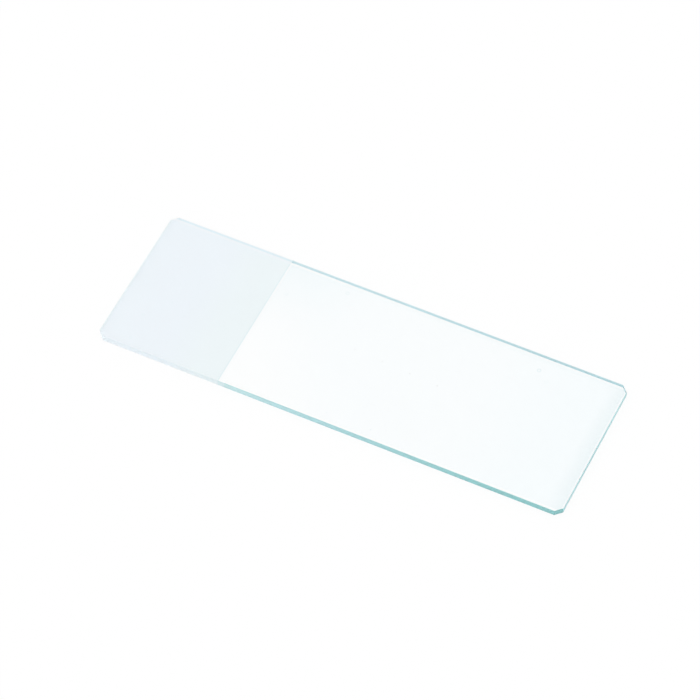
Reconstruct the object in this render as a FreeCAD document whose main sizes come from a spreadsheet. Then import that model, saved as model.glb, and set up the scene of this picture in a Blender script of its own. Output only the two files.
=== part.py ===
import FreeCAD, Part
import os
import Sketcher

# Microscope slide: one plate of clear soda-lime glass. Its edges are ground square, a fine
# arris runs round both faces, the four corners are clipped at 45 degrees, and a frosted
# writing panel is etched into the top face across one end.
#
# Frame, in millimetres: the origin is the centre of the underside, +X runs along the plate
# towards its clear end, +Y runs across it, and +Z points up through the frosted face.

DRIVING_SIZES = (
    ("plate_length", 75.0, "over the two ground ends"),
    ("plate_width", 25.0, "over the two ground long edges"),
    ("plate_thickness", 1.0, "between the two polished faces"),
    ("corner_clip", 1.0, "leg of the 45 degree cut across each corner"),
    ("edge_arris", 0.06, "leg of the 45 degree arris round each face"),
    ("frosted_length", 20.1, "of the frosted panel, from the end of the plate"),
    ("etch_depth", 0.02, "of the frosted panel below the polished face"),
)

SHEET = "Sizes"
NODE = "glass_slide"

# Elements of a sketch that constraints refer to.
START, END = 1, 2
ORIGIN_POINT = (-1, 1)
SIDES = range(4)
LEFT, FRONT, RIGHT, BACK = SIDES

# Two coordinates closer than this are the same place.
SAME_PLACE = 1e-4


def add_sizes(doc):
    """Put the driving sizes in a spreadsheet, one alias to a row."""
    sheet = doc.addObject("Spreadsheet::Sheet", SHEET)
    for row, (alias, value, meaning) in enumerate(DRIVING_SIZES, start=1):
        sheet.set(f"A{row}", alias)
        sheet.set(f"B{row}", str(value))
        sheet.setAlias(f"B{row}", alias)
        sheet.set(f"C{row}", meaning)
    doc.recompute()
    return sheet


def base_plane(body):
    """Return the body's own XY plane."""
    return next(plane for plane in body.Origin.OriginFeatures if plane.Role == "XY_Plane")


def add_sketch(body, name):
    """Start a sketch on the body's XY plane."""
    sketch = body.newObject("Sketcher::SketchObject", name)
    sketch.AttachmentSupport = [(base_plane(body), "")]
    sketch.MapMode = "FlatFace"
    return sketch


def draw_rectangle(sketch, left, right, half_width):
    """Draw four sides, in the order left, front, right, back, joined end to end and square."""
    corners = [
        FreeCAD.Vector(left, half_width),
        FreeCAD.Vector(left, -half_width),
        FreeCAD.Vector(right, -half_width),
        FreeCAD.Vector(right, half_width),
    ]
    for side in SIDES:
        following = (side + 1) % len(SIDES)
        sketch.addGeometry(Part.LineSegment(corners[side], corners[following]))
    for side in SIDES:
        following = (side + 1) % len(SIDES)
        sketch.addConstraint(Sketcher.Constraint("Coincident", side, END, following, START))
    for side in (LEFT, RIGHT):
        sketch.addConstraint(Sketcher.Constraint("Vertical", side))
    for side in (FRONT, BACK):
        sketch.addConstraint(Sketcher.Constraint("Horizontal", side))


def add_distance(sketch, name, direction, first, second, value, expression):
    """Dimension the way from one point to another and bind it to the spreadsheet."""
    index = sketch.addConstraint(Sketcher.Constraint(direction, *first, *second, value))
    sketch.renameConstraint(index, name)
    sketch.setExpression(f"Constraints.{name}", expression)


def draw_plate_outline(sketch, sheet):
    """Draw the plate's rectangle, centred on the origin."""
    half_length = sheet.plate_length / 2
    half_width = sheet.plate_width / 2
    draw_rectangle(sketch, -half_length, half_length, half_width)
    sketch.addConstraint(
        Sketcher.Constraint("Symmetric", LEFT, END, RIGHT, END, *ORIGIN_POINT))
    add_distance(sketch, "length_over_ends", "DistanceX", (FRONT, START), (FRONT, END),
                 sheet.plate_length, f"{SHEET}.plate_length")
    add_distance(sketch, "width_over_edges", "DistanceY", (RIGHT, START), (RIGHT, END),
                 sheet.plate_width, f"{SHEET}.plate_width")


def draw_panel_outline(sketch, sheet):
    """Draw the frosted panel's rectangle, from the plate's -X end and over its full width."""
    left = -sheet.plate_length / 2
    draw_rectangle(sketch, left, left + sheet.frosted_length, sheet.plate_width / 2)
    add_distance(sketch, "end_from_centre", "DistanceX", (LEFT, END), ORIGIN_POINT,
                 sheet.plate_length / 2, f"{SHEET}.plate_length / 2")
    add_distance(sketch, "edge_from_centre", "DistanceY", (LEFT, END), ORIGIN_POINT,
                 sheet.plate_width / 2, f"{SHEET}.plate_width / 2")
    add_distance(sketch, "panel_length", "DistanceX", (FRONT, START), (FRONT, END),
                 sheet.frosted_length, f"{SHEET}.frosted_length")
    add_distance(sketch, "panel_width", "DistanceY", (RIGHT, START), (RIGHT, END),
                 sheet.plate_width, f"{SHEET}.plate_width")


def edges_where(feature, accepts):
    """Name the edges of a feature whose bounding box passes a test."""
    return [f"Edge{number}" for number, edge in enumerate(feature.Shape.Edges, start=1)
            if accepts(edge.BoundBox)]


def add_chamfer(body, base, name, edges, alias):
    """Cut a 45 degree chamfer along some edges of a feature."""
    chamfer = body.newObject("PartDesign::Chamfer", name)
    chamfer.Base = (base, edges)
    chamfer.setExpression("Size", f"{SHEET}.{alias}")
    body.Document.recompute()
    return chamfer


def build_slide(doc, sheet):
    """Build the glass plate: sheet, clipped corners, arrises, then the etched panel."""
    body = doc.addObject("PartDesign::Body", "GlassSlide")
    body.Label = NODE

    outline = add_sketch(body, "PlateOutline")
    draw_plate_outline(outline, sheet)
    plate = body.newObject("PartDesign::Pad", "Plate")
    plate.Profile = outline
    plate.setExpression("Length", f"{SHEET}.plate_thickness")
    doc.recompute()

    upright = edges_where(plate, lambda box: box.ZLength > SAME_PLACE)
    clipped = add_chamfer(body, plate, "CornerClips", upright, "corner_clip")

    level = edges_where(clipped, lambda box: box.ZLength < SAME_PLACE)
    seamed = add_chamfer(body, clipped, "EdgeArrises", level, "edge_arris")

    panel_outline = add_sketch(body, "PanelOutline")
    panel_outline.setExpression("AttachmentOffset.Base.z", f"{SHEET}.plate_thickness")
    draw_panel_outline(panel_outline, sheet)
    panel = body.newObject("PartDesign::Pocket", "FrostedPanel")
    panel.Profile = panel_outline
    panel.setExpression("Length", f"{SHEET}.etch_depth")
    doc.recompute()

    if panel.Shape.Volume >= seamed.Shape.Volume:
        raise RuntimeError("the frosted panel cuts nothing from the plate")
    return body


def check_document(doc, bodies):
    """Stop if any object of the document failed or any piece has no sound solid."""
    for item in doc.Objects:
        if "Invalid" in item.State or "Error" in item.State:
            raise RuntimeError(f"{item.Label} failed: {item.State}")
    for body in bodies:
        if body.Shape.isNull() or not body.Shape.isValid():
            raise RuntimeError(f"{body.Label} has no valid shape")
        if len(body.Shape.Solids) != 1:
            raise RuntimeError(f"{body.Label} is not one solid")


def export_bodies(bodies):
    """Write each piece to a STEP file named after its node."""
    os.makedirs("parts", exist_ok=True)
    for body in bodies:
        body.Shape.exportStep(f"parts/{body.Label}.step")
        box = body.Shape.BoundBox
        print(f"{body.Label}: {box.XLength:.3f} x {box.YLength:.3f} x {box.ZLength:.3f} mm, "
              f"{body.Shape.Volume:.2f} mm3, {len(body.Shape.Faces)} faces")


def main():
    """Make the document, check it and write the pieces."""
    doc = FreeCAD.newDocument("MicroscopeSlide")
    sheet = add_sizes(doc)
    bodies = [build_slide(doc, sheet)]
    doc.recompute()
    check_document(doc, bodies)
    export_bodies(bodies)


main()
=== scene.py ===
"""Looks of a glass microscope slide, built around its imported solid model.

The slide is one piece of clear glass. Its polished faces, its etched writing panel, its
ground edges and its arrises are zones of one glass finish, because light passes from one
to another inside the plate. Everything is in metres, in the frame of the solid model:
"along" runs from the frosted end to the clear end, "across" from the front to the back.
"""

import logging
import math
import random
from dataclasses import dataclass, replace
from enum import Enum
from typing import Iterator, Sequence, Union

import bmesh
import bpy
from mathutils import Matrix, Vector


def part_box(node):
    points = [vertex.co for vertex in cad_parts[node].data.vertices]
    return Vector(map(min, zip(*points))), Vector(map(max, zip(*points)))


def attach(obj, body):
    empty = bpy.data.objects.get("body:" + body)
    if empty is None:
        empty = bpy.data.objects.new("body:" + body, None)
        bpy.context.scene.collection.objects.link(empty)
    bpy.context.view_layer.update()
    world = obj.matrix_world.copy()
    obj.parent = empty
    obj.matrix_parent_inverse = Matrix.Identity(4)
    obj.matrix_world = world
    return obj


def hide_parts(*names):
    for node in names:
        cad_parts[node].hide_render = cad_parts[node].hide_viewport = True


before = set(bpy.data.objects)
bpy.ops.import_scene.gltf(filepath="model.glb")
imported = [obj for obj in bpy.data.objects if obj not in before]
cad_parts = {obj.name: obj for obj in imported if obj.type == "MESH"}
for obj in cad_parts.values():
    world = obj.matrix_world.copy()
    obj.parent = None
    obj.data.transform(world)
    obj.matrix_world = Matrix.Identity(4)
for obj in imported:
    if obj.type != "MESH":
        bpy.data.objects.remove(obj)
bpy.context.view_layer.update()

LOG = logging.getLogger("slide")

SLIDE_NODE = "glass_slide"
ROOT_BODY = "root"

MILLIMETRE = 0.001
SAME_PLACE = 1e-7
SAME_PLACE_DIGITS = 7

Colour = tuple[float, float, float]
Socket = bpy.types.NodeSocket
Source = Union[Socket, float, Sequence[float]]

WHITE: Colour = (1.0, 1.0, 1.0)
BLACK: Colour = (0.0, 0.0, 0.0)


class Zone(Enum):
    """A zone of the glass surface; its value names the mask on the mesh's faces."""

    CLEAR_TOP = "clear_top"
    ETCHED = "etched"
    GROUND = "ground"
    ARRIS = "arris"
    CHIPPED = "chipped"


class Side(Enum):
    """A side of the plate; its value names the mask on the mesh's faces."""

    FRONT = "front_side"
    BACK = "back_side"
    BACK_CLIP = "back_clip"
    CLEAR_END = "clear_end"
    FROSTED_END = "frosted_end"


class MarkShape(Enum):
    """How a small mark on the glass is filled; its value is the share left open inside."""

    SPECK = 0.0
    RING = 0.62


class Mixing(Enum):
    """How one colour acts on another; its value is the mix node's own word for it."""

    COVER = "MIX"
    MULTIPLIED = "MULTIPLY"


@dataclass(frozen=True)
class GlassBody:
    """The glass itself: how it bends and absorbs light."""

    refraction: float = 1.52
    absorbed_tint: Colour = (0.125, 0.61, 0.68)
    absorption: float = 18.0


@dataclass(frozen=True)
class SurfaceFinish:
    """Colour and roughness of a stretch of the surface, each plain or from a node."""

    tint: Source
    roughness: Source


@dataclass(frozen=True)
class EdgeFinish(SurfaceFinish):
    """A ground stretch of a side; the arris is the tint on its broken edges, painted light
    above 1.
    """

    arris: Colour = (0.8, 0.92, 0.92)


@dataclass(frozen=True)
class SideFinish:
    """Finish of one ground side: by the panel, just past it, and at the clear end.

    The foot is the tint along the side's lower edge: painted shade below 1, painted light
    above.
    """

    frosted: EdgeFinish
    near: EdgeFinish
    far: EdgeFinish
    foot_light_and_shade: Colour = WHITE


@dataclass(frozen=True)
class Relief:
    """A fine texture: its pitch and depth, how much it darkens, and how it is drawn out."""

    pitch: float
    depth: float
    shade: float
    stretch: tuple[float, float, float] = (1.0, 1.0, 1.0)


@dataclass(frozen=True)
class PaintedShadeRamp:
    """A faint painted shade, which comes in from one place on the plate to another."""

    start: float
    full: float
    tint: Colour


@dataclass(frozen=True)
class Mark:
    """A small mark on the top face, by its centre on the plate."""

    along: float
    across: float
    radius: float
    strength: float
    shape: MarkShape
    tint: Colour = (0.72, 0.84, 0.87)


POLISHED = SurfaceFinish(tint=WHITE, roughness=0.0)
# The chips' dark tint is painted shade.
CHIPPED = SurfaceFinish(tint=(0.3, 0.42, 0.47), roughness=0.3)
# The panel's bluer end and greener middle are painted light from the teal edges, and its lip is
# a strip of painted shade at the frosted end.
PANEL_END = SurfaceFinish(tint=(0.885, 0.935, 0.99), roughness=0.8)
PANEL_MIDDLE = SurfaceFinish(tint=(0.888, 0.952, 0.97), roughness=0.8)
PANEL_LIP_SHADE = SurfaceFinish(tint=(0.865, 0.94, 0.95), roughness=0.8)
PANEL_RIM = SurfaceFinish(tint=(0.765, 0.88, 0.91), roughness=0.8)
# A painted highlight, then painted shade standing in for the back side seen through the glass,
# on the panel and on the clear face's back rim.
PANEL_HIGHLIGHT = SurfaceFinish(tint=(0.945, 0.97, 1.0), roughness=0.8)
PANEL_BACK_SHADE = SurfaceFinish(tint=(0.68, 0.832, 0.907), roughness=0.28)
RIM_SHADE_NEAR = SurfaceFinish(tint=(0.48, 0.7, 0.76), roughness=0.34)
RIM_SHADE_FAR = SurfaceFinish(tint=(0.36, 0.6, 0.66), roughness=0.34)

# All the sides are the same ground glass: their different tints are painted light and shade,
# lighter by the panel with painted light, and tints above 1 are painted light.
SIDE_FINISHES: dict[Side, SideFinish] = {
    Side.FRONT: SideFinish(
        frosted=EdgeFinish(tint=WHITE, roughness=0.28),
        near=EdgeFinish(tint=(0.72, 0.945, 0.915), roughness=0.7, arris=(0.36, 0.64, 0.66)),
        far=EdgeFinish(tint=(0.36, 0.753, 0.68), roughness=0.7, arris=(0.75, 0.88, 0.88)),
        foot_light_and_shade=(0.8, 0.9, 0.9)),
    Side.BACK: SideFinish(
        frosted=EdgeFinish(tint=(0.85, 0.95, 0.985), roughness=0.3, arris=(0.85, 0.95, 0.99)),
        near=EdgeFinish(tint=(0.6, 0.808, 0.926), roughness=0.35),
        far=EdgeFinish(tint=(0.41, 0.66, 0.788), roughness=0.35)),
    Side.BACK_CLIP: SideFinish(
        frosted=EdgeFinish(tint=WHITE, roughness=0.5),
        near=EdgeFinish(tint=(0.79, 0.916, 0.985), roughness=0.5),
        far=EdgeFinish(tint=(0.79, 0.916, 0.985), roughness=0.5)),
    Side.CLEAR_END: SideFinish(
        frosted=EdgeFinish(tint=WHITE, roughness=0.9),
        near=EdgeFinish(tint=(0.68, 0.926, 0.911), roughness=0.7),
        far=EdgeFinish(tint=(0.68, 0.926, 0.911), roughness=0.7, arris=(1.2, 1.04, 1.03)),
        foot_light_and_shade=(1.4, 1.08, 1.06)),
    Side.FROSTED_END: SideFinish(
        frosted=EdgeFinish(tint=WHITE, roughness=0.28),
        near=EdgeFinish(tint=WHITE, roughness=0.7),
        far=EdgeFinish(tint=WHITE, roughness=0.7)),
}

# The sides by the bearing that they face, in degrees from the clear end and up to each
# limit. A clipped corner goes with one of its neighbours, or has a finish of its own.
SIDE_BEARINGS: tuple[tuple[float, Side], ...] = (
    (-130.0, Side.FROSTED_END),
    (-30.0, Side.FRONT),
    (30.0, Side.CLEAR_END),
    (60.0, Side.BACK_CLIP),
    (150.0, Side.BACK),
    (180.0, Side.FROSTED_END),
)


class NodeSheet:
    """A node tree with short ways to place its nodes and wire them."""

    # The colour sockets of a mix node share their names with others, so they go by place.
    MIX_LOW, MIX_HIGH, MIX_RESULT = 6, 7, 2

    def __init__(self, tree: bpy.types.NodeTree) -> None:
        """Start on an empty tree.

        Args:
            tree: the node tree to fill; its nodes are cleared.
        """
        self.tree = tree
        tree.nodes.clear()

    def place(self, kind: str, **settings: object) -> bpy.types.Node:
        """Add a node and set its properties.

        Args:
            kind: the node's type, such as "ShaderNodeMath".
            settings: properties of the node and their values.

        Returns:
            The new node.
        """
        node = self.tree.nodes.new(kind)
        for name, value in settings.items():
            setattr(node, name, value)
        return node

    def feed(self, socket: Socket, source: Source) -> None:
        """Link a socket to another, or set it to a constant.

        Args:
            socket: the input to feed.
            source: an output socket, a number, or a colour or vector.
        """
        if isinstance(source, bpy.types.NodeSocket):
            self.tree.links.new(source, socket)
        elif socket.type == "RGBA":
            socket.default_value = (*source, 1.0)
        else:
            socket.default_value = source

    def math(self, operation: str, first: Source, second: Source = 0.0) -> Socket:
        """Place a sum on one or two numbers.

        Args:
            operation: the sum to do, such as "ADD".
            first: the first number.
            second: the second number, where the sum takes one.

        Returns:
            The result.
        """
        node = self.place("ShaderNodeMath", operation=operation)
        self.feed(node.inputs[0], first)
        self.feed(node.inputs[1], second)
        return node.outputs[0]

    def product(self, *factors: Source) -> Socket:
        """Multiply two or more numbers.

        Args:
            factors: the numbers.

        Returns:
            Their product.
        """
        result, *others = factors
        for factor in others:
            result = self.math("MULTIPLY", result, factor)
        return result

    def rest(self, share: Source) -> Socket:
        """Return what a share leaves of the whole."""
        return self.math("SUBTRACT", 1.0, share)

    def fade(self, value: Source, start: float, full: float) -> Socket:
        """Place a smooth step.

        Args:
            value: the number that the step follows.
            start: where the step leaves 0.
            full: where it reaches 1, above the start or below it.

        Returns:
            The step's height, from 0 to 1.
        """
        node = self.place("ShaderNodeMapRange", interpolation_type="SMOOTHSTEP")
        self.feed(node.inputs["Value"], value)
        self.feed(node.inputs["From Min"], start)
        self.feed(node.inputs["From Max"], full)
        return node.outputs["Result"]

    def mix_number(self, share: Source, low: Source, high: Source) -> Socket:
        """Place a mix of two numbers.

        Args:
            share: the share of the second one.
            low: the first number.
            high: the second number.

        Returns:
            The mixed number.
        """
        node = self.place("ShaderNodeMix", data_type="FLOAT")
        self.feed(node.inputs["Factor"], share)
        self.feed(node.inputs["A"], low)
        self.feed(node.inputs["B"], high)
        return node.outputs["Result"]

    def mix_colour(self, share: Source, low: Source, high: Source,
                   way: Mixing = Mixing.COVER) -> Socket:
        """Place a mix of two colours.

        Args:
            share: the share of the second one.
            low: the first colour.
            high: the second colour.
            way: how the second colour acts on the first.

        Returns:
            The mixed colour.
        """
        node = self.place("ShaderNodeMix", data_type="RGBA", blend_type=way.value)
        self.feed(node.inputs["Factor"], share)
        self.feed(node.inputs[self.MIX_LOW], low)
        self.feed(node.inputs[self.MIX_HIGH], high)
        return node.outputs[self.MIX_RESULT]

    def effect(self, group: bpy.types.NodeTree, **values: Source) -> Socket:
        """Place a node group and return its only output.

        Args:
            group: the group to place.
            values: what each of its inputs takes, by name.

        Returns:
            The group's output.
        """
        node = self.place("ShaderNodeGroup", node_tree=group)
        for name, value in values.items():
            self.feed(node.inputs[name], value)
        return node.outputs[0]


class EffectGroups:
    """The effects that several stretches of the glass share, as node groups."""

    GRAIN_DETAIL = 2.0
    GRAIN_ROUGHNESS = 0.6
    GRAIN_HOLLOW, GRAIN_CREST = 0.25, 0.75
    MARK_CORE, MARK_BORDER = 0.7, 1.15
    RING_SOFTNESS = 0.35

    def __init__(self) -> None:
        """Make each group once."""
        self.grain = self.make_grain()
        self.mark = self.make_mark()

    @staticmethod
    def start_group(name: str, inputs: dict[str, str], output: str) -> NodeSheet:
        """Start a node group with named sockets.

        Args:
            name: the group's name.
            inputs: the socket type of each input, by name.
            output: the name of the one output, a number.

        Returns:
            The sheet of the group's tree.
        """
        tree = bpy.data.node_groups.new(name, "ShaderNodeTree")
        for label, kind in inputs.items():
            tree.interface.new_socket(label, in_out="INPUT", socket_type=kind)
        tree.interface.new_socket(output, in_out="OUTPUT", socket_type="NodeSocketFloat")
        return NodeSheet(tree)

    def make_grain(self) -> bpy.types.NodeTree:
        """Make the fine grain of etched and ground glass.

        Returns:
            A group that gives a height from 0 to 1, drawn out along the surface.
        """
        sheet = self.start_group(
            "fine_grain",
            {"place": "NodeSocketVector", "pitch": "NodeSocketFloat",
             "stretch": "NodeSocketVector"},
            "height")
        given = sheet.place("NodeGroupInput").outputs
        drawn = sheet.place("ShaderNodeVectorMath", operation="MULTIPLY")
        sheet.feed(drawn.inputs[0], given["place"])
        sheet.feed(drawn.inputs[1], given["stretch"])
        noise = sheet.place("ShaderNodeTexNoise")
        sheet.feed(noise.inputs["Vector"], drawn.outputs[0])
        sheet.feed(noise.inputs["Scale"], sheet.math("DIVIDE", 1.0, given["pitch"]))
        sheet.feed(noise.inputs["Detail"], self.GRAIN_DETAIL)
        sheet.feed(noise.inputs["Roughness"], self.GRAIN_ROUGHNESS)
        height = sheet.place("ShaderNodeMapRange", interpolation_type="LINEAR")
        sheet.feed(height.inputs["Value"], noise.outputs["Fac"])
        sheet.feed(height.inputs["From Min"], self.GRAIN_HOLLOW)
        sheet.feed(height.inputs["From Max"], self.GRAIN_CREST)
        sheet.feed(sheet.place("NodeGroupOutput").inputs[0], height.outputs["Result"])
        return sheet.tree

    def make_mark(self) -> bpy.types.NodeTree:
        """Make a round mark, either filled or a ring, with soft borders.

        Returns:
            A group that gives the mark's mask.
        """
        sheet = self.start_group(
            "round_mark",
            {"place": "NodeSocketVector", "centre": "NodeSocketVector",
             "radius": "NodeSocketFloat", "open_share": "NodeSocketFloat"},
            "mask")
        given = sheet.place("NodeGroupInput").outputs
        gap = sheet.place("ShaderNodeVectorMath", operation="DISTANCE")
        sheet.feed(gap.inputs[0], given["place"])
        sheet.feed(gap.inputs[1], given["centre"])
        reach = sheet.math("DIVIDE", gap.outputs["Value"], given["radius"])
        inside = sheet.rest(sheet.fade(reach, self.MARK_CORE, self.MARK_BORDER))
        opening = sheet.math("SUBTRACT", given["open_share"], reach)
        filled = sheet.rest(sheet.fade(opening, 0.0, self.RING_SOFTNESS))
        sheet.feed(sheet.place("NodeGroupOutput").inputs[0], sheet.product(inside, filled))
        return sheet.tree


def add_masks(mesh: bmesh.types.BMesh) -> dict[Zone | Side, bmesh.types.BMLayerItem]:
    """Return new face masks for every zone and side, each starting at 0."""
    return {area: mesh.faces.layers.float.new(area.value) for area in (*Zone, *Side)}


@dataclass
class SlidePlate:
    """The glass plate, with clipped corners, an etched panel and small chips.

    The tilts say how much of a face's normal points up or down: a ground side has less
    than side_tilt, the top face more than top_tilt, and a level face more than level_tilt.
    """

    low: Vector
    high: Vector
    panel_edge: float
    corner_clip: float
    arris: float
    etch_depth: float
    panel_ramp: float = 0.05 * MILLIMETRE
    arris_segments: int = 2
    side_tilt: float = 0.1
    top_tilt: float = 0.9
    level_tilt: float = 0.99
    name: str = "slide_plate"

    @classmethod
    def from_solid(cls, node: str) -> "SlidePlate":
        """Take the plate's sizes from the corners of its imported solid.

        Args:
            node: the name of the solid.

        Returns:
            A plate of the solid's sizes.
        """
        low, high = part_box(node)
        corners = [vertex.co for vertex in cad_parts[node].data.vertices]
        levels = sorted({round(corner.z, SAME_PLACE_DIGITS) for corner in corners})
        underside, arris_level, *_, panel_level, _ = levels
        panel = [corner for corner in corners if abs(corner.z - panel_level) < SAME_PLACE]
        back = [corner for corner in corners if high.y - corner.y < SAME_PLACE]
        return cls(
            low=low,
            high=high,
            panel_edge=max(corner.x for corner in panel),
            corner_clip=high.x - max(corner.x for corner in back),
            arris=arris_level - underside,
            etch_depth=high.z - panel_level,
        )

    def build(self, chips: "EdgeChips") -> bpy.types.Object:
        """Build the plate's mesh and object.

        Args:
            chips: the chips to cut along its edges.

        Returns:
            The finished object, at the origin of the frame.
        """
        plate = bmesh.new()
        self.cut_blank(plate)
        self.clip_corners(plate)
        self.seam_arrises(plate)
        self.etch_panel(plate)
        self.mark_zones(plate)
        mesh = bpy.data.meshes.new(self.name)
        plate.to_mesh(mesh)
        plate.free()
        piece = bpy.data.objects.new(self.name, mesh)
        bpy.context.scene.collection.objects.link(piece)
        chips.cut(piece, self)
        return piece

    def cut_blank(self, plate: bmesh.types.BMesh) -> None:
        """Make the plain rectangular plate.

        Args:
            plate: the empty mesh to fill.
        """
        size = self.high - self.low
        middle = (self.high + self.low) / 2
        place = Matrix.Translation(middle) @ Matrix.Diagonal((*size, 1.0))
        bmesh.ops.create_cube(plate, size=1.0, matrix=place)

    def clip_corners(self, plate: bmesh.types.BMesh) -> None:
        """Cut the four upright edges at 45 degrees.

        Args:
            plate: the rectangular plate.
        """
        upright = [edge for edge in plate.edges if self.rise(edge) > SAME_PLACE]
        bmesh.ops.bevel(plate, geom=upright, offset=self.corner_clip, offset_type="OFFSET",
                        affect="EDGES", segments=1, profile=0.5, material=-1)

    def seam_arrises(self, plate: bmesh.types.BMesh) -> None:
        """Break the sharp edges round both broad faces.

        Args:
            plate: the plate with its corners clipped.
        """
        level = [edge for edge in plate.edges if self.rise(edge) < SAME_PLACE]
        bmesh.ops.bevel(plate, geom=level, offset=self.arris, offset_type="OFFSET",
                        affect="EDGES", segments=self.arris_segments, profile=0.5,
                        material=-1)

    def etch_panel(self, plate: bmesh.types.BMesh) -> None:
        """Sink the writing panel below the polished face, with a short ramp at its edge.

        Args:
            plate: the plate with its arrises broken.
        """
        ramp_foot = self.panel_edge - self.panel_ramp
        for reach in (ramp_foot, self.panel_edge):
            everything = [*plate.verts, *plate.edges, *plate.faces]
            bmesh.ops.bisect_plane(plate, geom=everything, dist=SAME_PLACE,
                                   plane_co=(reach, 0.0, 0.0), plane_no=(1.0, 0.0, 0.0))
        sunk = [corner for corner in plate.verts
                if corner.co.x < ramp_foot + SAME_PLACE
                and self.high.z - corner.co.z < SAME_PLACE]
        bmesh.ops.translate(plate, verts=sunk, vec=(0.0, 0.0, -self.etch_depth))

    def mark_zones(self, plate: bmesh.types.BMesh) -> None:
        """Write each face's zone into the masks that the glass finish reads.

        Args:
            plate: the finished plate.
        """
        masks = add_masks(plate)
        plate.normal_update()
        for face in plate.faces:
            zone = self.zone_of(face)
            if zone is not None:
                face[masks[zone]] = 1.0
            if zone in (Zone.GROUND, Zone.ARRIS):
                face[masks[self.side_of(face)]] = 1.0

    def zone_of(self, face: bmesh.types.BMFace) -> Zone | None:
        """Tell a face's zone from the way it looks and where it lies.

        Args:
            face: a face of the plate.

        Returns:
            The zone, or None for the polished underside.
        """
        tilt = abs(face.normal.z)
        if tilt < self.side_tilt:
            return Zone.GROUND
        middle = face.calc_center_median()
        top_starts = self.high.z - 2 * self.etch_depth
        on_top = face.normal.z > self.top_tilt and middle.z > top_starts
        if on_top and middle.x < self.panel_edge:
            return Zone.ETCHED
        if tilt < self.level_tilt:
            return Zone.ARRIS
        if on_top:
            return Zone.CLEAR_TOP
        return None

    @staticmethod
    def side_of(face: bmesh.types.BMFace) -> Side:
        """Return the side that a ground or broken face belongs to."""
        bearing = math.degrees(math.atan2(face.normal.y, face.normal.x))
        return next(side for limit, side in SIDE_BEARINGS if bearing <= limit)

    @staticmethod
    def rise(edge: bmesh.types.BMEdge) -> float:
        """Return the difference in height between an edge's ends."""
        first, second = edge.verts
        return abs(first.co.z - second.co.z)


@dataclass
class EdgeChips:
    """Small shell-shaped chips along the arrises, one larger nick among them.

    A pebble up to twice as long as it is wide takes each of them out, flattened by
    flatness and turned by up to turn radians. They keep clear of the plate's corners by
    corners_kept times the corners' own clips.
    """

    nick_place: float = 28.4 * MILLIMETRE
    nick_size: float = 0.17 * MILLIMETRE
    count: int = 6
    smallest: float = 0.06 * MILLIMETRE
    largest: float = 0.13 * MILLIMETRE
    spacing: float = 1.5 * MILLIMETRE
    corners_kept: float = 2.0
    flatness: float = 0.6
    unevenness: float = 0.12
    turn: float = 0.5
    subdivisions: int = 2
    seed: int = 217

    def places(self, plate: SlidePlate) -> Iterator[tuple[Vector, float]]:
        """Choose where the chips lie and how large they are.

        Args:
            plate: the plate that is chipped.

        Yields:
            Each chip's centre and radius.
        """
        low, high = plate.low, plate.high
        clear = self.corners_kept * plate.corner_clip
        yield Vector((self.nick_place, high.y, high.z)), self.nick_size
        draw = random.Random(self.seed)
        taken = [self.nick_place]
        while len(taken) <= self.count:
            along = draw.uniform(low.x + clear, high.x - clear)
            across = draw.choice((low.y, high.y))
            level = draw.choice((low.z, high.z, high.z))  # more of them above than below
            radius = draw.uniform(self.smallest, self.largest)
            if all(abs(along - other) > self.spacing for other in taken):
                taken.append(along)
                yield Vector((along, across, level)), radius

    def make_cutter(self, plate: SlidePlate) -> bpy.types.Object:
        """Make the uneven pebbles whose surfaces the chips take.

        Args:
            plate: the plate that is chipped.

        Returns:
            The cutter, with all its faces in the chipped zone.
        """
        draw = random.Random(self.seed + 1)
        pebbles = bmesh.new()
        for centre, radius in self.places(plate):
            squash = Matrix.Diagonal((1.0 + draw.random(), 1.0, self.flatness, 1.0))
            turn = Matrix.Rotation(draw.uniform(-self.turn, self.turn), 4, "Z")
            made = bmesh.ops.create_icosphere(
                pebbles, subdivisions=self.subdivisions, radius=radius,
                matrix=Matrix.Translation(centre) @ turn @ squash)
            for corner in made["verts"]:
                push = 1.0 + draw.uniform(-self.unevenness, self.unevenness)
                corner.co = centre + (corner.co - centre) * push
        masks = add_masks(pebbles)
        for face in pebbles.faces:
            face[masks[Zone.CHIPPED]] = 1.0
        mesh = bpy.data.meshes.new("chip_cutter")
        pebbles.to_mesh(mesh)
        pebbles.free()
        cutter = bpy.data.objects.new("chip_cutter", mesh)
        bpy.context.scene.collection.objects.link(cutter)
        return cutter

    def cut(self, piece: bpy.types.Object, plate: SlidePlate) -> None:
        """Cut the chips out of the plate.

        Args:
            piece: the plate's object.
            plate: the plate's sizes.
        """
        cutter = self.make_cutter(plate)
        bite = piece.modifiers.new("chips", "BOOLEAN")
        bite.operation = "DIFFERENCE"
        bite.solver = "EXACT"
        bite.object = cutter
        evaluated = piece.evaluated_get(bpy.context.evaluated_depsgraph_get())
        chipped = bpy.data.meshes.new_from_object(evaluated)
        whole = piece.data
        piece.modifiers.remove(bite)
        piece.data = chipped
        bpy.data.meshes.remove(whole)
        chipped.name = piece.name
        cutter_mesh = cutter.data
        bpy.data.objects.remove(cutter)
        bpy.data.meshes.remove(cutter_mesh)


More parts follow.
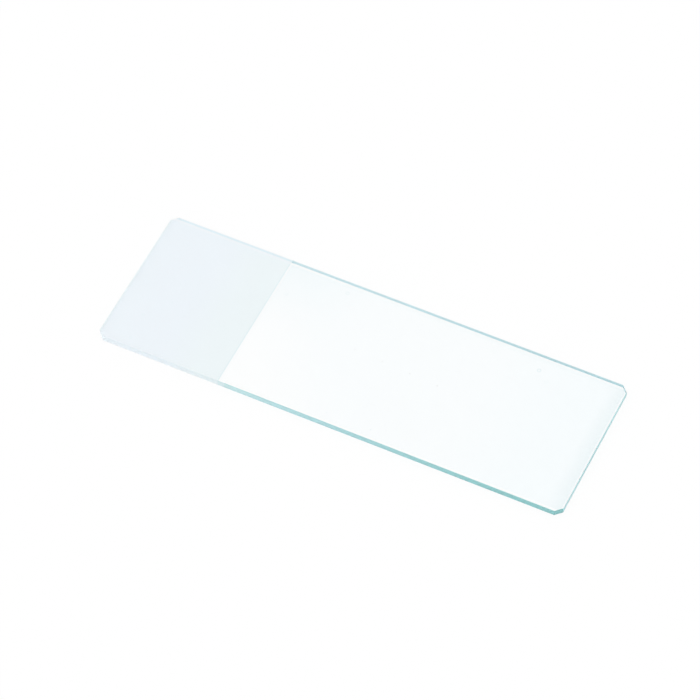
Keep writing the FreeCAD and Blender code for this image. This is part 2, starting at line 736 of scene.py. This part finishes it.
class GlassSheet(NodeSheet):
    """The node tree of the glass, with the place on the plate and the shared effects."""

    DEEPER_FROM, DEEPEST_AT = -10.0 * MILLIMETRE, 30.0 * MILLIMETRE

    def __init__(self, tree: bpy.types.NodeTree, plate: SlidePlate) -> None:
        """Start on an empty tree, from the place on the plate.

        Args:
            tree: the node tree of the material.
            plate: the plate that it dresses.
        """
        super().__init__(tree)
        self.plate = plate
        self.effects = EffectGroups()
        self.spot = self.place("ShaderNodeTexCoord").outputs["Object"]
        parts = self.place("ShaderNodeSeparateXYZ")
        self.feed(parts.inputs[0], self.spot)
        self.along, self.across, self.level = parts.outputs

    def mask(self, area: Zone | Side) -> Socket:
        """Return the mask of a zone or side of the plate."""
        node = self.place("ShaderNodeAttribute", attribute_name=area.value)
        return node.outputs["Fac"]

    def grain(self, relief: Relief) -> Socket:
        """Return the height of a fine texture, from 0 to 1."""
        return self.effect(self.effects.grain, place=self.spot, pitch=relief.pitch,
                           stretch=relief.stretch)

    def panel_light_fade(self) -> Socket:
        """Return how far the panel's painted light has faded: 0 by the panel, 1 towards the
        clear end.
        """
        return self.fade(self.along, self.DEEPER_FROM, self.DEEPEST_AT)

    def blend(self, share: Source, low: SurfaceFinish, high: SurfaceFinish) -> SurfaceFinish:
        """Mix two finishes, in colour and in roughness.

        Args:
            share: the share of the second one.
            low: the first finish.
            high: the second finish.

        Returns:
            The mixed finish.
        """
        return SurfaceFinish(self.mix_colour(share, low.tint, high.tint),
                             self.mix_number(share, low.roughness, high.roughness))

    def multiply_tint(self, share: Source, finish: SurfaceFinish, tint: Source) -> SurfaceFinish:
        """Multiply a tint into a finish's colour: painted shade, painted light, and the drip's
        stain.

        Args:
            share: how strong the tint is, from 0 to 1.
            finish: the finish to stain.
            tint: the colour that it is multiplied by.

        Returns:
            The stained finish.
        """
        return replace(finish, tint=self.mix_colour(share, finish.tint, tint, Mixing.MULTIPLIED))

    def shade(self, finish: SurfaceFinish, height: Socket, relief: Relief) -> SurfaceFinish:
        """Darken a finish a little in the hollows of a fine texture.

        Args:
            finish: the finish to darken.
            height: the height of the texture.
            relief: how the texture is made.

        Returns:
            The darkened finish.
        """
        share = self.product(self.rest(height), relief.shade)
        return replace(finish, tint=self.mix_colour(share, finish.tint, BLACK))


@dataclass(frozen=True)
class EtchedPanel:
    """The writing panel: bluer at its end and greener past it with painted light from the teal
    edges, with a painted shade strip at the end and a darker rim by the clear face.

    A smoother, bluish stripe of painted shade runs along its back edge, for the back side
    seen through the glass, and a painted highlight inside that.
    """

    grain: Relief = Relief(pitch=0.16 * MILLIMETRE, depth=0.004 * MILLIMETRE, shade=0.045)
    end: float = 9.0 * MILLIMETRE
    middle: float = 3.0 * MILLIMETRE
    lip: float = 0.6 * MILLIMETRE
    rim: float = 0.24 * MILLIMETRE
    rim_core: float = 0.12 * MILLIMETRE
    bright_from: float = 0.95 * MILLIMETRE
    bright_to: float = 0.6 * MILLIMETRE
    back: float = 0.38 * MILLIMETRE
    back_softness: float = 0.03 * MILLIMETRE

    def paint(self, sheet: GlassSheet, height: Socket) -> SurfaceFinish:
        """Paint the panel, each stretch of it over the last.

        Args:
            sheet: the material's sheet.
            height: the height of the panel's grain.

        Returns:
            The panel's finish.
        """
        plate = sheet.plate
        inner = plate.high.y - self.back
        stretches = (
            (sheet.along, plate.low.x + self.end, plate.panel_edge - self.middle, PANEL_MIDDLE),
            (sheet.along, plate.low.x + self.lip, plate.low.x, PANEL_LIP_SHADE),
            (sheet.along, plate.panel_edge - self.rim, plate.panel_edge - self.rim_core,
             PANEL_RIM),
            (sheet.across, plate.high.y - self.bright_from, plate.high.y - self.bright_to,
             PANEL_HIGHLIGHT),
            (sheet.across, inner, inner + self.back_softness, PANEL_BACK_SHADE),
        )
        finish = PANEL_END
        for line, start, full, stretch in stretches:
            finish = sheet.blend(sheet.fade(line, start, full), finish, stretch)
        return sheet.shade(finish, height, self.grain)


@dataclass(frozen=True)
class ClearFace:
    """The polished top face, with painted shade on it and a matt rim along its back edge.

    The painted shade keeps off each border by its bare width, which leaves a lighter bare
    rim, and is whole at a given multiple of that width, but only a given share of it
    reaches the panel. The broad ramp of painted shade comes in askew, by slant.
    """

    bare_front: float = 0.35 * MILLIMETRE
    bare_back: float = 0.7 * MILLIMETRE
    bare_end: float = 0.2 * MILLIMETRE
    bare_by_panel: float = 0.25 * MILLIMETRE
    painted_shade_by_panel: float = 0.5
    painted_shade_whole: float = 1.4
    slant: float = 0.6
    broad: PaintedShadeRamp = PaintedShadeRamp(-22.0 * MILLIMETRE, -2.0 * MILLIMETRE, (0.955, 0.985, 0.996))
    far: PaintedShadeRamp = PaintedShadeRamp(14.0 * MILLIMETRE, 34.0 * MILLIMETRE, (0.955, 0.99, 1.0))
    end: PaintedShadeRamp = PaintedShadeRamp(34.2 * MILLIMETRE, 37.6 * MILLIMETRE, (0.864, 0.912, 0.92))
    corner_shade: Colour = (0.905, 0.955, 0.97)
    corner_length: float = 16.0 * MILLIMETRE
    corner_from: float = -2.0 * MILLIMETRE
    back_rim: float = 0.42 * MILLIMETRE
    rim_softness: float = 0.03 * MILLIMETRE

    def paint(self, sheet: GlassSheet) -> SurfaceFinish:
        """Paint the ramps of painted shade, then the matt rim over them.

        Args:
            sheet: the material's sheet.

        Returns:
            The clear face's finish.
        """
        plate = sheet.plate
        painted_shade = self.painted_shade(sheet)
        slanted = sheet.math("ADD", sheet.along, sheet.product(sheet.across, self.slant))
        near_panel = sheet.rest(sheet.fade(sheet.along, plate.panel_edge,
                                           plate.panel_edge + self.corner_length))
        back = sheet.fade(sheet.across, self.corner_from, plate.high.y)
        # Painted shade: a broad slanted ramp, a patch by the panel's back corner, and two ramps
        # towards the clear end, darkest at its very end.
        shade_ramps = (
            (sheet.fade(slanted, self.broad.start, self.broad.full), self.broad.tint),
            (sheet.product(near_panel, back), self.corner_shade),
            (sheet.fade(sheet.along, self.far.start, self.far.full), self.far.tint),
            (sheet.fade(sheet.along, self.end.start, self.end.full), self.end.tint),
        )
        finish = POLISHED
        for share, tint in shade_ramps:
            finish = sheet.multiply_tint(sheet.product(painted_shade, share), finish, tint)
        # The rim's teal tint is painted shade for the back side seen through the glass.
        inner = plate.high.y - self.back_rim
        rim = sheet.product(sheet.fade(sheet.across, inner, inner + self.rim_softness),
                            sheet.mask(Zone.CLEAR_TOP))
        return sheet.blend(rim, finish, sheet.blend(sheet.panel_light_fade(), RIM_SHADE_NEAR, RIM_SHADE_FAR))

    def painted_shade(self, sheet: GlassSheet) -> Socket:
        """Tell how strong the painted shade is at each place.

        Args:
            sheet: the material's sheet.

        Returns:
            The painted shade's share, 0 on the bare borders and off the clear face.
        """
        plate = sheet.plate
        borders = (
            (sheet.across, plate.low.y, self.bare_front, 0.0),
            (sheet.across, plate.high.y, -self.bare_back, 0.0),
            (sheet.along, plate.high.x, -self.bare_end, 0.0),
            (sheet.along, plate.panel_edge, self.bare_by_panel, self.painted_shade_by_panel),
        )
        share: Source = sheet.mask(Zone.CLEAR_TOP)
        for line, border, bare, least in borders:
            whole = sheet.fade(line, border + bare, border + self.painted_shade_whole * bare)
            share = sheet.product(share, sheet.mix_number(whole, least, 1.0))
        return share


@dataclass(frozen=True)
class GroundEdges:
    """The ground sides and their arrises, frosted beside the panel.

    The frosting ends softly with the panel, but some of it, overspray_share, goes on past
    it at the front by the overspray's length. A dark drip marks the back edge just there.
    """

    grain: Relief = Relief(pitch=0.1 * MILLIMETRE, depth=0.0003 * MILLIMETRE, shade=0.02,
                           stretch=(0.12, 0.12, 1.0))
    foot_top: float = 0.4 * MILLIMETRE
    foot_bottom: float = 0.1 * MILLIMETRE
    frosting_softness: float = 0.1 * MILLIMETRE
    overspray: float = 1.05 * MILLIMETRE
    overspray_share: float = 0.55
    drip_tint: Colour = (0.1, 0.45, 0.5)
    drip_offset: float = 0.07 * MILLIMETRE
    drip_reach: float = 0.27 * MILLIMETRE
    drip_core: float = 0.135 * MILLIMETRE

    def paint(self, sheet: GlassSheet, arris: Socket, height: Socket) -> SurfaceFinish:
        """Paint each side in its own tints, with painted light by the panel, fading to the
        clear end.

        Args:
            sheet: the material's sheet.
            arris: the mask of the broken edges.
            height: the height of the edges' grain.

        Returns:
            The edges' finish.
        """
        frosted, panel_light_fade = self.frosting(sheet), sheet.panel_light_fade()
        low = sheet.fade(sheet.level, self.foot_top, self.foot_bottom)
        edges = POLISHED
        for side, finish in SIDE_FINISHES.items():
            ground = sheet.blend(panel_light_fade, finish.near, finish.far)
            ground = sheet.multiply_tint(low, ground, finish.foot_light_and_shade)
            ground = sheet.blend(frosted, ground, finish.frosted)
            broken = sheet.mix_colour(panel_light_fade, finish.near.arris, finish.far.arris)
            broken = sheet.mix_colour(frosted, broken, finish.frosted.arris)
            ground = sheet.multiply_tint(arris, ground, broken)
            edges = sheet.blend(sheet.mask(side), edges, ground)
        edges = sheet.shade(edges, height, self.grain)
        return sheet.multiply_tint(self.drip(sheet), edges, self.drip_tint)

    def frosting(self, sheet: GlassSheet) -> Socket:
        """Tell how frosted the edges are.

        Args:
            sheet: the material's sheet.

        Returns:
            The share of frosting: 1 by the panel, less just past it in front, then 0.
        """
        edge = sheet.plate.panel_edge
        full, past = (sheet.rest(sheet.fade(sheet.along, end - self.frosting_softness, end))
                      for end in (edge, edge + self.overspray))
        front = sheet.fade(sheet.across, 0.0, sheet.plate.low.y)
        return sheet.math("MAXIMUM", full, sheet.product(past, front, self.overspray_share))

    def drip(self, sheet: GlassSheet) -> Socket:
        """Mark the drip on the back edge, where the panel ends.

        Args:
            sheet: the material's sheet.

        Returns:
            The drip's mask.
        """
        centre = sheet.plate.panel_edge + self.drip_offset
        gap = sheet.math("ABSOLUTE", sheet.math("SUBTRACT", sheet.along, centre))
        back = sheet.math("GREATER_THAN", sheet.across, 0.0)
        return sheet.product(sheet.fade(gap, self.drip_reach, self.drip_core), back)


@dataclass(frozen=True)
class FaceMarks:
    """The small rings and specks on the top face, and an even row of specks across it."""

    singles: tuple[Mark, ...] = (
        Mark(24.3 * MILLIMETRE, 9.6 * MILLIMETRE, 0.36 * MILLIMETRE, 0.75, MarkShape.RING),
        Mark(26.1 * MILLIMETRE, 8.1 * MILLIMETRE, 0.36 * MILLIMETRE, 0.2, MarkShape.RING),
        Mark(-7.3 * MILLIMETRE, 10.4 * MILLIMETRE, 0.36 * MILLIMETRE, 0.35, MarkShape.RING),
        Mark(-15.4 * MILLIMETRE, 6.3 * MILLIMETRE, 0.3 * MILLIMETRE, 0.15, MarkShape.SPECK),
        Mark(6.6 * MILLIMETRE, -10.8 * MILLIMETRE, 0.12 * MILLIMETRE, 0.5, MarkShape.SPECK),
        Mark(-0.6 * MILLIMETRE, -10.8 * MILLIMETRE, 0.12 * MILLIMETRE, 0.25, MarkShape.SPECK),
        Mark(-30.1 * MILLIMETRE, -2.4 * MILLIMETRE, 0.15 * MILLIMETRE, 0.3, MarkShape.SPECK),
        Mark(-33.0 * MILLIMETRE, -6.3 * MILLIMETRE, 0.3 * MILLIMETRE, 0.2, MarkShape.SPECK),
        Mark(-32.7 * MILLIMETRE, -10.9 * MILLIMETRE, 0.3 * MILLIMETRE, 0.2, MarkShape.SPECK),
    )
    row_count: int = 4
    row_start: Mark = Mark(-1.8 * MILLIMETRE, 1.4 * MILLIMETRE, 0.12 * MILLIMETRE, 0.6,
                           MarkShape.SPECK, tint=(0.72, 0.73, 0.75))
    row_step_along: float = 4.6 * MILLIMETRE
    row_step_across: float = -0.27 * MILLIMETRE

    def each(self) -> Iterator[Mark]:
        """Go through every mark.

        Yields:
            The single marks, then the row of specks.
        """
        yield from self.singles
        for number in range(self.row_count):
            yield replace(self.row_start,
                          along=self.row_start.along + number * self.row_step_along,
                          across=self.row_start.across + number * self.row_step_across)

    def paint(self, sheet: GlassSheet, finish: SurfaceFinish) -> SurfaceFinish:
        """Paint the marks over the finish of the top face.

        Args:
            sheet: the material's sheet.
            finish: the finish under the marks.

        Returns:
            The finish with the marks.
        """
        for mark in self.each():
            mask = sheet.effect(sheet.effects.mark, place=sheet.spot,
                                centre=(mark.along, mark.across, sheet.plate.high.z),
                                radius=mark.radius, open_share=mark.shape.value)
            share = sheet.product(mask, mark.strength)
            finish = replace(finish, tint=sheet.mix_colour(share, finish.tint, mark.tint))
        return finish


@dataclass(frozen=True)
class SlideGlass:
    """The slide's one glass material, made up of the finishes of its zones."""

    plate: SlidePlate
    body: GlassBody = GlassBody()
    face: ClearFace = ClearFace()
    panel: EtchedPanel = EtchedPanel()
    edges: GroundEdges = GroundEdges()
    marks: FaceMarks = FaceMarks()
    name: str = "slide_glass"

    def build(self) -> bpy.types.Material:
        """Make the material.

        Returns:
            The glass of the whole plate.
        """
        material = bpy.data.materials.new(self.name)
        material.use_nodes = True
        sheet = GlassSheet(material.node_tree, self.plate)
        etched, ground = sheet.mask(Zone.ETCHED), sheet.mask(Zone.GROUND)
        arris, chipped = sheet.mask(Zone.ARRIS), sheet.mask(Zone.CHIPPED)
        etch, grind = sheet.grain(self.panel.grain), sheet.grain(self.edges.grain)

        finish = self.face.paint(sheet)
        finish = sheet.blend(etched, finish, self.panel.paint(sheet, etch))
        finish = self.marks.paint(sheet, finish)
        finish = sheet.blend(sheet.math("ADD", ground, arris), finish,
                             self.edges.paint(sheet, arris, grind))
        finish = sheet.blend(chipped, finish, CHIPPED)

        bump = sheet.place("ShaderNodeBump")
        sheet.feed(bump.inputs["Distance"], 1.0)
        sheet.feed(bump.inputs["Height"],
                   sheet.math("ADD", sheet.product(etched, etch, self.panel.grain.depth),
                              sheet.product(ground, grind, self.edges.grain.depth)))
        shader = sheet.place("ShaderNodeBsdfPrincipled")
        sheet.feed(shader.inputs["Base Color"], finish.tint)
        sheet.feed(shader.inputs["Roughness"], finish.roughness)
        sheet.feed(shader.inputs["Normal"], bump.outputs["Normal"])
        sheet.feed(shader.inputs["IOR"], self.body.refraction)
        sheet.feed(shader.inputs["Transmission Weight"], 1.0)
        volume = sheet.place("ShaderNodeVolumeAbsorption")
        sheet.feed(volume.inputs["Color"], self.body.absorbed_tint)
        sheet.feed(volume.inputs["Density"], self.body.absorption)
        output = sheet.place("ShaderNodeOutputMaterial")
        sheet.feed(output.inputs["Surface"], shader.outputs[0])
        sheet.feed(output.inputs["Volume"], volume.outputs[0])
        return material


@dataclass(frozen=True)
class Viewpoint:
    """Where the camera stands and how it is framed."""

    azimuth: float = 25.554
    elevation: float = 52.944
    distance: float = 0.6005
    across: float = -1.736 * MILLIMETRE
    upward: float = 2.147 * MILLIMETRE
    lens: float = 209.42
    nearest: float = 0.01
    farthest: float = 10.0

    def place(self) -> bpy.types.Object:
        """Make the scene's camera.

        Returns:
            The camera.
        """
        turn, rise = math.radians(self.azimuth), math.radians(self.elevation)
        back = Vector((math.sin(turn) * math.cos(rise), -math.cos(turn) * math.cos(rise),
                       math.sin(rise)))
        right = Vector((math.cos(turn), math.sin(turn), 0.0))
        upward = back.cross(right)
        camera = bpy.data.objects.new("camera", bpy.data.cameras.new("camera"))
        camera.data.lens = self.lens
        camera.data.clip_start = self.nearest
        camera.data.clip_end = self.farthest
        camera.location = back * self.distance + right * self.across + upward * self.upward
        camera.rotation_mode = "QUATERNION"
        camera.rotation_quaternion = back.to_track_quat("Z", "Y")
        bpy.context.scene.collection.objects.link(camera)
        bpy.context.scene.camera = camera
        return camera


@dataclass(frozen=True)
class Studio:
    """The pale floor and the soft light round the slide."""

    floor_size: float = 6.0
    floor_gap: float = 0.03 * MILLIMETRE
    floor_white: float = 0.08
    sky: float = 1.0
    glass_bounces: int = 64
    floor_bounces: int = 4

    def build(self) -> None:
        """Make the floor and the world."""
        self.lay_floor()
        self.light_world()
        self.lengthen_light_paths()

    def lay_floor(self) -> None:
        """Lay the white floor just under the slide."""
        floor = bmesh.new()
        bmesh.ops.create_grid(floor, x_segments=1, y_segments=1, size=self.floor_size / 2,
                              matrix=Matrix.Translation((0.0, 0.0, -self.floor_gap)))
        mesh = bpy.data.meshes.new("floor")
        floor.to_mesh(mesh)
        floor.free()
        piece = bpy.data.objects.new("floor", mesh)
        bpy.context.scene.collection.objects.link(piece)
        mesh.materials.append(self.make_floor_paint())

    def make_floor_paint(self) -> bpy.types.Material:
        """Make a white that still takes the slide's shadow.

        Returns:
            The floor's material: a dim paint that takes the light, and a glow that
            brings it up to white for the camera and through the glass.
        """
        material = bpy.data.materials.new("floor_paint")
        material.use_nodes = True
        material.cycles.emission_sampling = "NONE"
        sheet = NodeSheet(material.node_tree)
        rays = sheet.place("ShaderNodeLightPath").outputs
        seen = sheet.math("MAXIMUM", rays["Is Camera Ray"], rays["Is Transmission Ray"])
        seen = sheet.math("MAXIMUM", seen, rays["Is Glossy Ray"])
        paint = sheet.place("ShaderNodeBsdfDiffuse")
        sheet.feed(paint.inputs["Color"], (self.floor_white,) * 3)
        glow = sheet.place("ShaderNodeEmission")
        sheet.feed(glow.inputs["Strength"], sheet.product(seen, 1.0 - self.floor_white))
        both = sheet.place("ShaderNodeAddShader")
        sheet.feed(both.inputs[0], paint.outputs[0])
        sheet.feed(both.inputs[1], glow.outputs[0])
        output = sheet.place("ShaderNodeOutputMaterial")
        sheet.feed(output.inputs["Surface"], both.outputs[0])
        return material

    def light_world(self) -> None:
        """Light the studio evenly from all round."""
        world = bpy.data.worlds.new("studio")
        bpy.context.scene.world = world
        world.use_nodes = True
        sheet = NodeSheet(world.node_tree)
        sky = sheet.place("ShaderNodeBackground")
        sheet.feed(sky.inputs["Strength"], self.sky)
        sheet.feed(sky.inputs["Color"], WHITE)
        output = sheet.place("ShaderNodeOutputWorld")
        sheet.feed(output.inputs["Surface"], sky.outputs[0])

    def lengthen_light_paths(self) -> None:
        """Let light bounce many times inside the plate, from edge to edge."""
        cycles = bpy.context.scene.cycles
        cycles.max_bounces = self.glass_bounces
        cycles.glossy_bounces = self.glass_bounces
        cycles.transmission_bounces = self.glass_bounces
        cycles.diffuse_bounces = self.floor_bounces
        cycles.blur_glossy = 0.0


def main() -> None:
    """Build the slide and its surroundings."""
    logging.basicConfig(level=logging.INFO, format="%(name)s: %(message)s")
    bpy.context.scene.view_settings.view_transform = "Standard"
    plate = SlidePlate.from_solid(SLIDE_NODE)
    piece = plate.build(EdgeChips())
    piece.data.materials.append(SlideGlass(plate).build())
    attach(piece, ROOT_BODY)
    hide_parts(SLIDE_NODE)
    LOG.info("%s: %d faces", piece.name, len(piece.data.polygons))
    Studio().build()
    Viewpoint().place()


if __name__ == "__main__":
    main()
